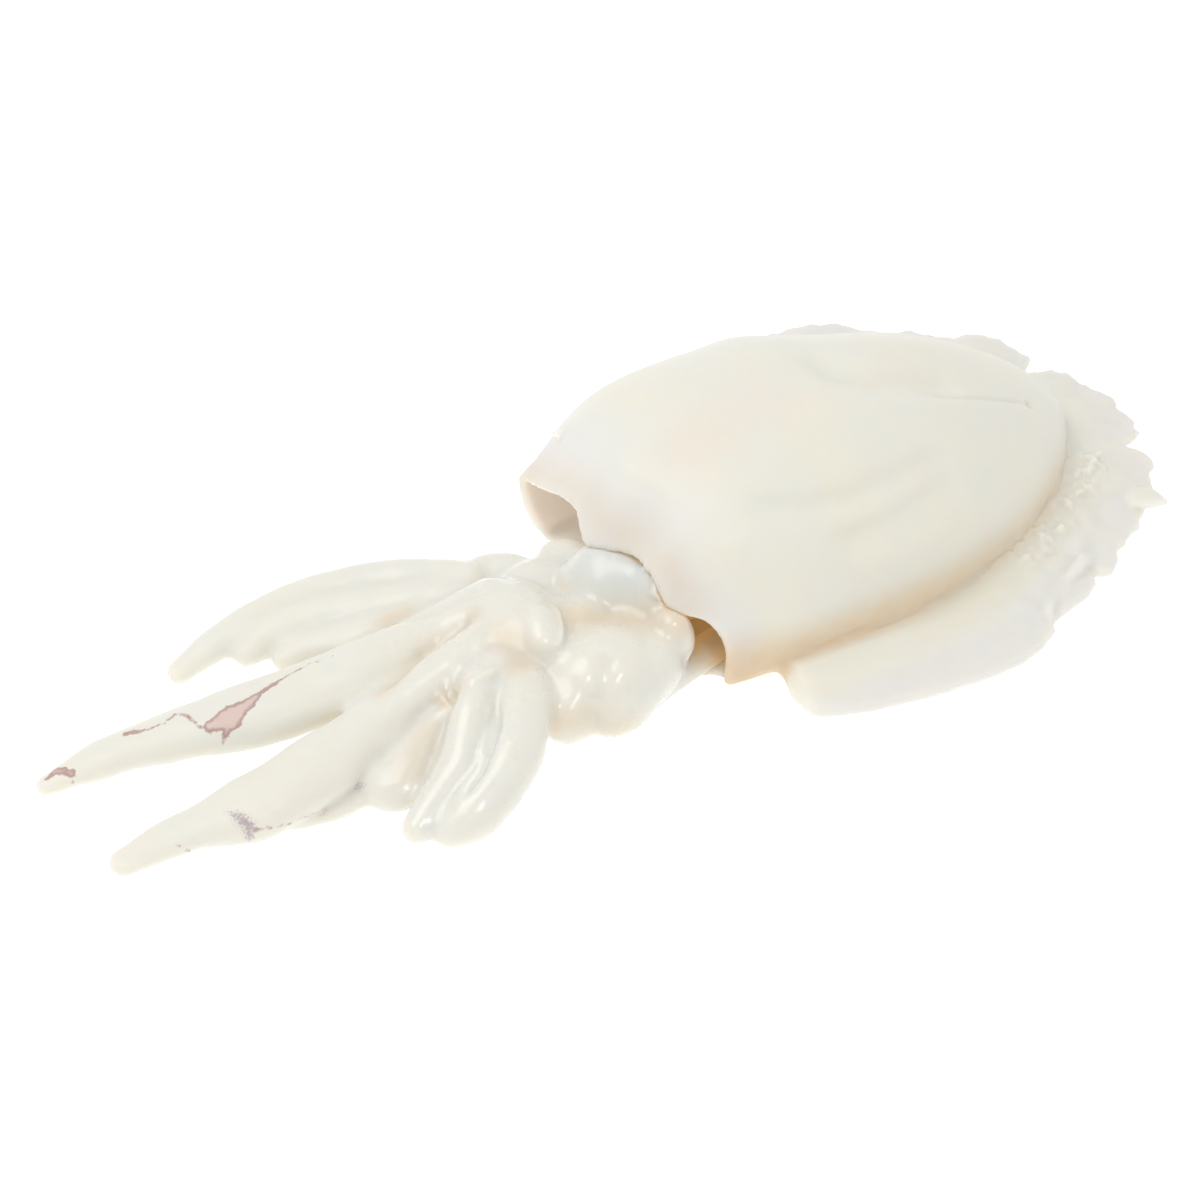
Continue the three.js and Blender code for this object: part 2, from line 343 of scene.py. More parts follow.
def widths_to(border):
    """The root's t nearest each border point, in order, and how far away the border is there."""
    turns = np.linspace(-1, 1, BORDER_STEPS)
    apart = np.linalg.norm(border[:, None] - fin_root(turns)[None], axis=2)
    nearest = apart.argmin(1)
    order = nearest.argsort()
    return turns[nearest][order], apart.min(1)[order]


RAGGED_DEPTH = 0.45
# The border is smooth at the near front and ragged from here on.
RAGGED_STRETCH = -0.62, -0.47
# Pace, share and start of each wave.
RAGGED_WAVES = [(61, 0.5, 0), (113, 0.6, 1), (197, 0.5, 2)]


def waves(t, terms):
    return sum(share * np.sin(pace * t + start) for pace, share, start in terms)


def fin_width(t):
    ragged = RAGGED_DEPTH * waves(t, RAGGED_WAVES) * ramp(t, *RAGGED_STRETCH)
    return np.interp(t, border_turns, border_widths) + ragged


border_turns, border_widths = widths_to(on_curve(FIN_BORDER, np.linspace(0, 1, BORDER_STEPS)))
print("greatest fin width in mm", border_widths.max().round(1))

# %% The fin's sections
FIN_INSET = 7
# Thickness at even steps from the root out to the border.
FIN_THICKNESS = [5, 7, 8, 6.2, 4.6, 3.4]
FIN_NEAR_RISE, FIN_FAR_RISE = 1.6, 7
FAR_RISE_FULL = 0.625
# The plump near front, its lean, and the frill, each with the stretch of t over which it sets in.
PLUMP_FRONT, PLUMP_STRETCH = 0.3, (-0.7, -0.95)
FRONT_LEAN, LEAN_STRETCH = 4, (-0.85, -1)
FRILL_HEIGHT, FRILL_STRETCH = 1.4, (-0.7, -0.3)
FRILL_WAVES = [(23, 0.6, 0), (41, 0.4, 2)]
FIN_BLUNTNESS, SECTION_BLUNTNESS = 260, 0.5
FIN_STEPS = 40, 900


def fin_point(way, turn):
    t = 2 * way - 1
    full = np.sqrt(1 - np.abs(t) ** FIN_BLUNTNESS)
    across = (1 - np.cos(turn)) / 2
    root = fin_root(t)
    along = unit(fin_root(t + NUDGE) - fin_root(t - NUDGE))
    reach = mix(-FIN_INSET, fin_width(t), across * full)
    plump = 1 + PLUMP_FRONT * ramp(t, *PLUMP_STRETCH)
    thickness = through(FIN_THICKNESS, across) * plump
    frill = FRILL_HEIGHT * across**2 * waves(t, FRILL_WAVES) * ramp(t, *FRILL_STRETCH)
    middle = mix(FIN_NEAR_RISE, FIN_FAR_RISE, ramp(t, 0, FAR_RISE_FULL)) + frill
    bulge = np.sign(np.sin(turn)) * np.abs(np.sin(turn)) ** SECTION_BLUNTNESS
    lean = FRONT_LEAN * across * ramp(t, *LEAN_STRETCH)
    x = root[:, 0] + along[:, 1] * reach - lean
    y = root[:, 1] - along[:, 0] * reach
    return np.stack([x, y, middle + full * bulge * thickness / 2], -1)


drawn_out_ball(mantle_form, *FIN_STEPS, fin_point)
print("pouch and fin", len(mantle_form.faces), "faces")

# %% Loose bits of the mantle's skin
# Path, widths and flatness: a torn flap at the tail, two rolled bits of border and a tuft on the far shoulder.
LOOSE_BITS = [
    ([(124, -33, 3), (128, -37.5, 3.6), (131, -41, 4)], [9, 7, 3], 0.35),
    ([(105, -46.5, 3.4), (100, -48.5, 4), (94, -51, 3.4)], [2.5, 3.5, 2.5], 0.7),
    ([(88, -54.5, 3.2), (85, -57, 3.5), (83.5, -60, 2.8)], [2, 2.6, 2], 0.7),
    ([(3.6, 24.6, 29), (2.6, 26.4, 30.8)], [2, 1.5], 1),
]

for path, widths, flatness in LOOSE_BITS:
    draw_out(mantle_form, path, widths, flatness)
print("loose bits", len(LOOSE_BITS))

# %% [markdown]
# ## One skin
# On the animal nothing marks where fin ends and mantle begins. A Boolean union would leave a hard line there,
# so the Remesh modifier wraps a voxel skin round all the forms at once. The skin's points are then read into
# arrays, where a sculptor's strokes become one line each: relax the surface, fill a valley, push along the
# normal, and lay it all on the table.


# %% Wrapping a form and applying modifiers
def new_piece(name, form):
    mesh = bpy.data.meshes.new(name)
    form.to_mesh(mesh)
    form.free()
    piece = bpy.data.objects.new(name, mesh)
    bpy.context.scene.collection.objects.link(piece)
    return piece


def apply_modifiers(piece):
    bpy.context.view_layer.update()
    finished = piece.evaluated_get(bpy.context.evaluated_depsgraph_get())
    old = piece.data
    piece.data = bpy.data.meshes.new_from_object(finished)
    piece.modifiers.clear()
    bpy.data.meshes.remove(old)


def wrap(piece, voxel):
    """One closed skin round everything that the piece is made of."""
    skin = piece.modifiers.new("one skin", "REMESH")
    skin.mode = "VOXEL"
    skin.voxel_size = voxel
    apply_modifiers(piece)


# %% A skin as arrays
SMOOTHING, SWELLING = 0.5, -0.52
NO_LENGTH = 1e-12
# Skin whose normal points further down than this is the under side; the rest keeps a least height.
UNDER_SIDE = -0.3
THINNEST = 0.35


def read(items, name, width, kind=float):
    values = np.empty((len(items), width), kind)
    items.foreach_get(name, values.ravel())
    return values


class Skin:
    """A piece's points with what lies round them, for moving them in code."""

    def __init__(self, piece):
        self.mesh = piece.data
        self.mesh.calc_loop_triangles()
        self.points = read(self.mesh.vertices, "co", 3)
        self.edges = read(self.mesh.edges, "vertices", 2, np.int32)
        self.triangles = read(self.mesh.loop_triangles, "vertices", 3, np.int32)
        self.neighbours = np.bincount(self.edges.ravel(), minlength=len(self.points))

    def around(self, values):
        """The mean of the neighbours' values at each point."""
        columns = values.reshape(len(values), -1).T
        one, other = self.edges.T
        size = len(values)
        sums = [np.bincount(one, c[other], size) + np.bincount(other, c[one], size) for c in columns]
        return (np.array(sums) / self.neighbours).T.reshape(values.shape)

    def spread(self, values, rounds):
        for _ in range(rounds):
            values = self.around(values)
        return values

    def normals(self):
        a, b, c = (self.points[corner] for corner in self.triangles.T)
        faces = np.cross(b - a, c - a)
        size = len(self.points)
        total = sum(
            np.stack([np.bincount(corner, axis, size) for axis in faces.T], -1)
            for corner in self.triangles.T
        )
        return total / np.maximum(np.linalg.norm(total, axis=1, keepdims=True), NO_LENGTH)

    def near(self, path, width):
        """1 on a path, fading to nothing about two widths away from it."""
        return bell(distance_to_path(self.points, path)[0], width)

    def snap(self, tree):
        """Draws the points onto the forms that the skin was wrapped round."""
        self.points[:] = [tree.find_nearest(Vector(point))[0] for point in self.points]

    def relax(self, rounds):
        """Smooths and swells by turns, so that the voxels' steps go and the form stays."""
        for rate in (SMOOTHING, SWELLING) * rounds:
            self.points += rate * (self.around(self.points) - self.points)

    def fill_valleys(self, rounds, where):
        """Raises hollows only, as a thumb fills the joint between two lumps of clay."""
        for _ in range(rounds):
            normals = self.normals()
            hollow = np.sum((self.around(self.points) - self.points) * normals, axis=1)
            self.points += (where * np.maximum(hollow, 0))[:, None] * normals

    def push(self, distance):
        self.points += distance[:, None] * self.normals()

    def lay_down(self):
        """Sets the skin on the table, with its upper side kept just above its under side."""
        upper = self.normals()[:, 2] > UNDER_SIDE
        self.points[:, 2] = np.maximum(self.points[:, 2], np.where(upper, THINNEST, 0))

    def save(self):
        self.mesh.vertices.foreach_set("co", self.points.astype(np.float32).ravel())
        self.mesh.update()

    def paint(self, name, values):
        layer = self.mesh.attributes.new(name, "FLOAT", "POINT")
        layer.data.foreach_set("value", values.astype(np.float32))


# %% The mantle's skin
MANTLE_VOXEL = 0.84
MANTLE_RELAXING = 4
CREASE_FILLING, TAIL_FILLING = 14, 30
SOFT_CREASE = 0.7
# Pairs, here and below, say where a share starts and where it is full.
FIN_HEIGHTS = 15, 11
OFF_CREASE = 4, 10
TOWARDS_TAIL = 70, 95


def on_fin(points, start, full):
    """Rises from 0 to 1 between two distances beyond the root of the fin."""
    x, y, z = points.T
    share = np.clip(x / MANTLE_LENGTH, 0, 1)
    sideways = np.abs(y - middle_y(share)) - half_width(share)
    beyond = np.maximum(sideways, x - MANTLE_LENGTH)
    return ramp(beyond, start, full) * ramp(z, *FIN_HEIGHTS)


mantle_forms_tree = BVHTree.FromBMesh(mantle_form)
mantle = new_piece("mantle_flesh", mantle_form)
wrap(mantle, MANTLE_VOXEL)
mantle_skin = Skin(mantle)
mantle_skin.snap(mantle_forms_tree)
mantle_skin.relax(MANTLE_RELAXING)
in_crease = SOFT_CREASE * (1 - on_fin(mantle_skin.points, *OFF_CREASE))
mantle_skin.fill_valleys(CREASE_FILLING, in_crease)
at_tail = ramp(mantle_skin.points[:, 0], *TOWARDS_TAIL)
mantle_skin.fill_valleys(TAIL_FILLING, in_crease * at_tail)
mantle_skin.relax(MANTLE_RELAXING)
print("mantle skin", len(mantle_skin.triangles), "triangles")

# %% [markdown]
# ## Folds of the back
# The empty pouch has slumped into a few long, shallow folds, and a fine seam ends in a nick above the tail.
# They could be painted as bump, but they catch the light over centimetres, so they are real dips: points near
# a path sink by a bell-shaped depth. Membrane left in the crease is finer than the skin's points, so it is
# raised out of the skin in ragged bits.

# %% Pressing the folds
# Path, width and depth of each; a depth below nothing is a ridge.
FOLDS = [
    ([(20, -25, 39), (35, -31, 37), (48, -32, 36), (62, -30, 35), (75, -27, 33)], 3.5, 1.3),
    ([(36, -38, 30.5), (49, -38, 30.5), (62, -36, 31), (74, -32, 31)], 3, 1.0),
    ([(40, -41, 26), (55, -42, 24), (67, -40, 25), (77, -36, 27)], 3, -0.9),
    ([(58, 10, 43), (61, -1, 43), (67, -7, 42), (73, -8, 41), (81, -10, 38), (88, -14, 35)], 4.5, 1.8),
    ([(74, -11, 40.4), (87, -15, 35.6), (97, -15.6, 31), (107, -15, 25)], 0.9, 0.5),
    ([(106, -15, 25.6), (108, -15, 24.5)], 1.2, 0.9),
]
# How deep a fold is at its ends, and how fast it deepens from there.
FOLD_ENDS, FOLD_GROWTH = 0.2, 5
# Size and height of soft lumps.
UNEVEN = [(22, 0.5), (9, 0.16)]
CRINKLE_SIZE, CRINKLE_HEIGHT, LEAST_CRINKLED = 4.5, 0.45, 0.4
CRINKLED_FIN, CRINKLED_STRETCH = (2, 10), (50, 90)
# Path, width, size and height of ragged bits along the crease.
TAIL_LACE = (
    [(124.5, -20, 5.6), (119.5, -24, 5.6), (110, -31.2, 5.6), (100, -36.6, 5.8), (89.5, -40.6, 5.8)],
    3.0, 2.2, 2.8,
)


def unevenness(points, size):
    """Soft noise from -1 to 1 with lumps about as large as size."""
    return np.array([noise.noise(Vector(point) / size) for point in points])


def crumple(skin, folds, uneven):
    """Presses folds into a skin, then makes it uneven."""
    total = np.zeros(len(skin.points))
    for path, width, depth in folds:
        distance, along = distance_to_path(skin.points, path)
        ends = [smooth(FOLD_GROWTH * share + FOLD_ENDS) for share in (along, 1 - along)]
        total += depth * bell(distance, width) * ends[0] * ends[1]
    skin.push(-total)
    for size, height in uneven:
        skin.push(height * unevenness(skin.points, size))


def settle(skin, path, width, size, height):
    """Raises ragged bits of membrane along a path and sets the finished skin on the table."""
    skin.push(height * skin.near(path, width) * np.maximum(unevenness(skin.points, size), 0))
    skin.lay_down()
    skin.save()


crumple(mantle_skin, FOLDS, UNEVEN)
crinkled = on_fin(mantle_skin.points, *CRINKLED_FIN)
crinkled *= mix(LEAST_CRINKLED, 1, ramp(mantle_skin.points[:, 0], *CRINKLED_STRETCH))
mantle_skin.push(CRINKLE_HEIGHT * crinkled * unevenness(mantle_skin.points, CRINKLE_SIZE))
settle(mantle_skin, *TAIL_LACE)
print("folds", len(FOLDS))

# %% [markdown]
# ## The head and its arms
# The head is a cluster of soft swellings: the brow, the near eye, the cheek, and the crown with its bump. The
# arms leave the crown in a fan, pressed side by side. Lumps are balls scaled to size, arms are balls drawn out
# along a curve, and a thumb-like fill softens the joints between them.

# %% Swellings of the head
# Centre and half sizes: the crown, and the flesh between brow, crown, eye, lip and arms.
HEAD_LUMPS = [
    ((-28, -13, 11), (13, 17, 11)),
    ((-17, 0, 9), (13, 8, 8.5)),
    ((-17, -31, 9.5), (15, 12.5, 10.5)),
    ((-7, -24, 8.5), (11, 12, 9)),
    ((2, -20, 15.8), (7, 9, 10)),
    ((0, -31.2, 13.5), (5, 6, 7.3)),
    ((-17, -19, 11), (9, 8, 9)),
    ((-38, -23, 11), (9, 8, 8)),
]
LUMP_STEPS = 5

head_form = bmesh.new()
for centre, half in HEAD_LUMPS:
    lump = bmesh.ops.create_icosphere(head_form, subdivisions=LUMP_STEPS, radius=1)["verts"]
    bmesh.ops.scale(head_form, vec=half, verts=lump)
    bmesh.ops.translate(head_form, vec=centre, verts=lump)
print("lumps", len(HEAD_LUMPS))

# %% Arms and swellings along their curves
# What the middle of each form follows, its widths at even steps, and its thickness as a share of its width.
DRAWN_OUT_FORMS = dict(
    brow=(
        [(-14, -5, 12), (-6, -9.5, 13), (1, -12.5, 13.4), (7, -12, 13.4), (15, -12.5, 13), (24, -13, 11)],
        [21, 24, 24, 24, 24, 22], 1.0,
    ),
    crown_bump=(
        [(-24, -13.4, 18), (-26, -18.4, 18.4), (-27.5, -22.9, 17.5), (-30, -26.4, 15)],
        [8, 10, 10, 8], 0.9,
    ),
    throat=([(22, -28, 3.4), (9, -30.2, 3.4), (-3, -33, 3.4), (-12, -36, 3)], [9, 9, 9, 9], 0.75),
    near_eye=(
        [(0.5, -32, 11.5), (-8, -34.5, 10.5), (-17, -38, 8), (-24.5, -42.5, 4.5)],
        [12, 15, 15.5, 10.5], 0.95,
    ),
    cheek=([(-17, -22, 12), (-22, -29, 11), (-28, -35, 8), (-33, -39.5, 4)], [16, 17, 15, 12], 0.95),
    torn_flap=([(-3, -2, 17), (-7, 3, 16), (-10, 5, 15), (-12.5, 7, 14.5)], [6, 7.5, 7.5, 5], 0.5),
    far_hump=([(-15, 3, 12), (-21, 10, 11), (-28, 13, 9.5), (-33, 13, 8.5)], [9, 9, 8, 6], 0.8),
    far_outer=(
        [(-26, 6, 12), (-42, 21, 9.5), (-63, 27.5, 7.5), (-81, 26, 5.5), (-98, 22, 3)],
        [11, 9.5, 9, 9, 6], 0.8,
    ),
    far_middle=(
        [(-30, 4, 12), (-46, 13, 9.5), (-61, 19, 8), (-74, 21, 6), (-83, 19, 4)],
        [9, 10, 10, 10, 7], 0.8,
    ),
    far_inner=([(-36, 1, 11), (-51, 7, 9), (-62, 10, 7.5), (-70, 13, 6), (-76, 13, 4)], [9, 9, 9, 8, 6], 0.8),
    long_upper=(
        [
            (-24, -4, 17), (-44, -3, 13), (-67, -4, 9.5), (-87, -2, 7.5), (-104, 2, 6), (-120, 5, 4.5),
            (-137, 5, 2.5),
        ],
        [14, 12, 18, 18, 14, 10, 5], 0.65,
    ),
    long_lower=(
        [
            (-30, -12, 17), (-48, -16, 14), (-66, -19, 10.5), (-83, -24, 8), (-100, -26, 6), (-116, -24, 4.5),
            (-133, -25, 3.3),
        ],
        [11, 11.5, 12, 17, 17, 10, 7], 0.65,
    ),
    lower_flange=([(-72, -28, 3), (-81, -30, 2.5), (-91, -29, 2.3), (-100, -26, 2.5)], [6, 10, 9, 6], 0.4),
    near_web=([(-46, -21, 13), (-57, -24, 9), (-66, -30, 6), (-76, -37, 3)], [10, 15, 18, 17], 0.5),
    near_second=(
        [(-42, -22, 16), (-50, -31, 14), (-57, -39, 10), (-66, -44, 6.5), (-75, -49, 3.2)],
        [8, 9, 9.5, 8, 6.5], 0.85,
    ),
    near_first=(
        [(-34, -25, 15), (-40, -36, 13), (-48, -44, 9.5), (-59, -49, 5.5), (-70, -51, 3)],
        [11, 12, 14, 14, 8], 0.8,
    ),
)

for path, widths, flatness in DRAWN_OUT_FORMS.values():
    draw_out(head_form, path, widths, flatness)
print("drawn-out forms", list(DRAWN_OUT_FORMS))

# %% The head's forms, fused
HEAD_FUSING_VOXEL = 0.9
HEAD_RELAXING = 16
JOINT_FILLING, FACE_FILLING = 16, 30
SOFT_JOINT, CRISP_JOINT = 0.75, 0.2
NEAR_ARMS_X, NEAR_ARMS_Y = (-40, -46), (-28, -34)
FACE_X, FACE_Y = (-22, -16), (-10, -16)

head = new_piece("head_flesh", head_form)
wrap(head, HEAD_FUSING_VOXEL)
head_skin = Skin(head)
head_skin.relax(HEAD_RELAXING)
x, y, _ = head_skin.points.T
between_near_arms = ramp(x, *NEAR_ARMS_X) * ramp(y, *NEAR_ARMS_Y)
head_skin.fill_valleys(JOINT_FILLING, mix(SOFT_JOINT, CRISP_JOINT, between_near_arms))
head_skin.fill_valleys(FACE_FILLING, SOFT_JOINT * ramp(x, *FACE_X) * ramp(y, *FACE_Y))
head_skin.relax(HEAD_RELAXING)
head_skin.save()
print("fused head", len(head_skin.triangles), "triangles")

# %% The head, cut clear of the mantle
# The lip lies on the brow, but solids must not touch, so a pouch grown by the clearance is cut away.
CLEARANCE = 0.4
HEAD_VOXEL = 0.62

grown_pouch = new_piece("pouch_with_clearance", pouch(CLEARANCE))
cut = head.modifiers.new("clear of the mantle", "BOOLEAN")
cut.operation = "DIFFERENCE"
cut.solver = "MANIFOLD"
cut.object = grown_pouch
apply_modifiers(head)
bpy.data.objects.remove(grown_pouch)
wrap(head, HEAD_VOXEL)
head_skin = Skin(head)
head_skin.relax(HEAD_RELAXING)
print("head skin", len(head_skin.triangles), "triangles")

# %% Fine folds of the head
# Grooves between the arms, the pit where they part, and thin ridges where skin was pulled off.
LONG_GROOVE = [(-64, -16, 14.5), (-58, -13.5, 14.6), (-50, -9.9, 14.4), (-43, -9.4, 16.6), (-37, -8.5, 18.5)]
ARM_PIT = [(-53, -25, 14.6), (-50.5, -25.5, 15.5)]
HEAD_FOLDS = [
    (LONG_GROOVE, 1.6, 1.1),
    ([(-50, 0.5, 15.5), (-41, -1.2, 17.4), (-32, -2.7, 19.6)], 1.8, 0.6),
    (ARM_PIT, 2.4, 0.8),
    ([(-21.4, -15, 20.4), (-22.1, -19.8, 21), (-23.8, -24.3, 20.6), (-27, -27.6, 19.1)], 0.9, -0.8),
    ([(-48.3, -26.8, 18), (-40.9, -25.8, 18)], 0.9, -0.7),
    ([(-45.9, -32.8, 16.5), (-49.5, -37.6, 15.2), (-54.5, -43, 13)], 0.8, -0.7),
    ([(-44.4, -34, 15.9), (-49.4, -41.2, 14.8), (-55.2, -46.5, 12.7), (-61.8, -49.7, 10.3)], 1.0, 0.9),
    ([(-51, -26.4, 16.4), (-55.6, -29.2, 12.5), (-61.2, -34, 9.8), (-67, -39.6, 7.8)], 1.3, 0.9),
    ([(-53, -24, 14.1), (-59, -24.6, 12.7), (-66.6, -28, 10.8), (-73.7, -30.2, 9)], 1.5, 0.8),
    ([(-16.7, -34.1, 19.5), (-19.8, -37.3, 18.1), (-22.5, -39.8, 15.6), (-24.8, -41.1, 12.4)], 2.6, 0.8),
]
HEAD_UNEVEN = [(14, 0.35), (5, 0.16)]
# Torn membrane at the cut, beside the brow.
CUT_LACE = (
    [(-0.3, -21, 25.6), (-0.3, -22.4, 24.9), (-0.8, -24.8, 23.3), (-1.3, -27.4, 21.3), (-1.7, -29, 20)],
    1.2, 1.5, 1.8,
)

crumple(head_skin, HEAD_FOLDS, HEAD_UNEVEN)
settle(head_skin, *CUT_LACE)
print("folds of the head", len(HEAD_FOLDS))

# %% [markdown]
# ## Where flesh is thin and where it is hollow
# Thin flesh lets light through and looks cool and white. Hollows, which the sky hardly reaches, get painted
# shade in amber and a faint painted glow. Both could be painted by hand, but they follow from the form: a ray
# into the flesh measures how thick it is, and a few rays out of it count how much of the sky is hidden. The
# shares are kept on the points for the materials to read.

# %% Measuring thickness and shelter
SHELTER_RAYS = 14
SHELTER_REACH = 40
THIN, THICK = 1.5, 6.0
CLEAR_OF_SKIN = 0.3
GOLDEN_ANGLE = math.pi * (3 - math.sqrt(5))
# Sets how each fan of rays is turned.
ASKEW = (0.36, 0.48, 0.8)
THIN_SPREADING, SHELTER_SPREADING = 3, 4


def tree_of(*skins):
    points, triangles, start = [], [], 0
    for skin in skins:
        points.extend(map(tuple, skin.points))
        triangles.extend(map(tuple, skin.triangles + start))
        start += len(skin.points)
    return BVHTree.FromPolygons(points, triangles)


def ray_fan(count):
    """Directions over a half ball, crowded towards its pole."""
    share = (np.arange(count) + 0.5) / count
    turn = np.arange(count) * GOLDEN_ANGLE
    out = np.sqrt(share)
    return np.stack([out * np.cos(turn), out * np.sin(turn), np.sqrt(1 - share)], -1)


def thinness(skin, tree):
    thick = np.empty(len(skin.points))
    for i, (point, normal) in enumerate(zip(skin.points, skin.normals())):
        inwards = Vector(-normal)
        hit = tree.ray_cast(Vector(point) + CLEAR_OF_SKIN * inwards, inwards, THICK)[3]
        thick[i] = THICK if hit is None else hit
    return skin.spread(1 - ramp(thick, THIN, THICK), THIN_SPREADING)


def shelter(skin, tree):
    fan = ray_fan(SHELTER_RAYS)
    normals = skin.normals()
    across = unit(np.cross(normals, ASKEW))
    beyond = np.cross(normals, across)
    hidden = np.zeros(len(skin.points))
    for i, point in enumerate(skin.points):
        start = Vector(point + CLEAR_OF_SKIN * normals[i])
        rays = fan @ np.array([across[i], beyond[i], normals[i]])
        for ray in rays:
            hit = tree.ray_cast(start, Vector(ray), SHELTER_REACH)[3]
            if hit is not None:
                hidden[i] += 1 - hit / SHELTER_REACH
    return skin.spread(hidden / SHELTER_RAYS, SHELTER_SPREADING)


whole_tree = tree_of(mantle_skin, head_skin)
mantle_thin, mantle_shelter = thinness(mantle_skin, whole_tree), shelter(mantle_skin, whole_tree)
head_thin, head_shelter = thinness(head_skin, whole_tree), shelter(head_skin, whole_tree)
print("rays from", len(mantle_skin.points) + len(head_skin.points), "points")

# %% Where flesh is cooler or clearer than its form says
# A clarity is the share of its shelter, and so of its painted amber shade, that a place loses, because light
# comes through its flesh.
FIN_COOLNESS, TAIL_COOLNESS, FIN_CLARITY = 0.9, 0.4, 0.85
ARMS_CLARITY, BROW_CLARITY, BELLY_CLARITY = 0.5, 0.45, 0.75
COOL_FIN, CLEAR_FIN = (6, 17), (1, 4)
COOL_TAIL, CLEAR_ARMS = (90, 120), (-38, -48)
BELLY_LIP_X, BELLY_LIP_Z = (20, 14), (6, 2)
BROW_LIP = [(-3, -7.6, 27), (1, -16, 27), (2, -25, 26)], 6

x, _, z = mantle_skin.points.T
coolness = FIN_COOLNESS * mix(1, TAIL_COOLNESS, ramp(x, *COOL_TAIL))
mantle_thin = np.maximum(mantle_thin, coolness * on_fin(mantle_skin.points, *COOL_FIN))
mantle_shelter *= 1 - FIN_CLARITY * on_fin(mantle_skin.points, *CLEAR_FIN)
mantle_shelter *= 1 - BELLY_CLARITY * ramp(z, *BELLY_LIP_Z) * ramp(x, *BELLY_LIP_X)
head_shelter *= 1 - ARMS_CLARITY * ramp(head_skin.points[:, 0], *CLEAR_ARMS)
for skin, thin, sheltered in (
    (mantle_skin, mantle_thin, mantle_shelter),
    (head_skin, head_thin, head_shelter),
):
    sheltered *= 1 - BROW_CLARITY * skin.near(*BROW_LIP)
    skin.paint("thin", thin)
    skin.paint("shelter", sheltered)
    print(skin.mesh.name, "thin", thin.mean().round(3), "sheltered", sheltered.mean().round(3))

# %% [markdown]
# ## Tinted places, painted shade and painted light
# A pink blush is left on the back, painted amber shade runs down the lower flank and lies along the lip and in
# the head's hollows, painted light glows out of the crease and the mouth, the brow is milky, the head is wet,
# and scraps of dark skin cling to the two long arms. Each is kept on the points as a smooth share or distance,
# and the materials cut a sharp, wandering edge from it.

# %% Tints of the mantle, with painted shade and painted light
BLUSH = [(19, -8, 43), (30, -3, 44), (40, -3, 45)], 9
LIP_PATH = [
    (-3.2, 26.7, 21), (-2.5, 13.8, 27), (-2.6, 0, 31), (-3, -7.6, 29.7), (1, -16, 30), (2, -24.7, 30),
    (2.8, -30.3, 25.3), (3.5, -33.3, 22),
]
# Painted shade along the lip, where the mantle curves down to it: strength and width.
LIP_SHADE, LIP_WIDTH = 0.3, 5
# The painted amber shade of the near flank ends on the fin and, in front of the fin, only at the table.
FLANK_SHADE, FLANK_SHADE_AT_TAIL = 0.9, 0.55
FLANK_HEIGHTS, ABOVE_FIN, NEAR_SIDE = (19, 7), (4, 7), (-8, -28)
FLANK_TO_TAIL, FLANK_TO_FIN = (30, 100), (0.5, 4)
BARE_FLANK_X, BARE_FLANK_Y = (26, 22), (-37, -41)
# Painted light glows as if it came out of the crease along the fin and round the tail, and through the far
# wall of the mouth.
FLANK_GLOW, GLOWING_FLANK = 0.5, (12, 40)
TAIL_GLOW, GLOWING_SHELTER = 0.3, (0, 0.35)
FACING_INWARDS, SHELTERED_WALL = (0, 0.3), (0, 0.2)
FAR_WALL_X, FAR_WALL_Y = (45, 15), (-4, 4)

x, y, z = mantle_skin.points.T
to_axis = np.stack([0 * x, middle_y(x / MANTLE_LENGTH) - y, WAIST_AT_MOUTH_FAR - z], -1)
far_wall = ramp(np.sum(mantle_skin.normals() * unit(to_axis), axis=1), *FACING_INWARDS)
far_wall *= ramp(mantle_shelter, *SHELTERED_WALL) * ramp(x, *FAR_WALL_X) * ramp(y, *FAR_WALL_Y)
# Painted shade: amber on the near lower flank, fading up the side and towards the tail.
above_fin = np.maximum(ramp(z, *ABOVE_FIN), ramp(x, *BARE_FLANK_X) * ramp(y, *BARE_FLANK_Y))
flank_shade = ramp(z, *FLANK_HEIGHTS) * above_fin * ramp(y, *NEAR_SIDE)
flank_shade *= FLANK_SHADE * mix(1, FLANK_SHADE_AT_TAIL, ramp(x, *FLANK_TO_TAIL))
flank_shade *= 1 - on_fin(mantle_skin.points, *FLANK_TO_FIN)
# Painted shade in a band along the lip.
lip_shade = LIP_SHADE * mantle_skin.near(LIP_PATH, LIP_WIDTH)
flank_glow = FLANK_GLOW * flank_shade**2 * ramp(x, *GLOWING_FLANK)
tail_glow = TAIL_GLOW * ramp(mantle_shelter, *GLOWING_SHELTER) * ramp(x, *TOWARDS_TAIL)
mantle_skin.paint("shade", np.maximum(flank_shade, lip_shade))
# Painted light: the lantern share makes these places glow.
mantle_skin.paint("lantern", np.max([far_wall, flank_glow, tail_glow], axis=0))
mantle_skin.paint("blush", mantle_skin.near(*BLUSH))
print("amber flank up to", flank_shade.max().round(2))

# %% Tints of the head, its painted shade, and where it is wet
MILK = [(-8, -9.3, 22.8), (-6, -15, 22.7), (-3, -18.5, 22), (0, -21.3, 22)], 7
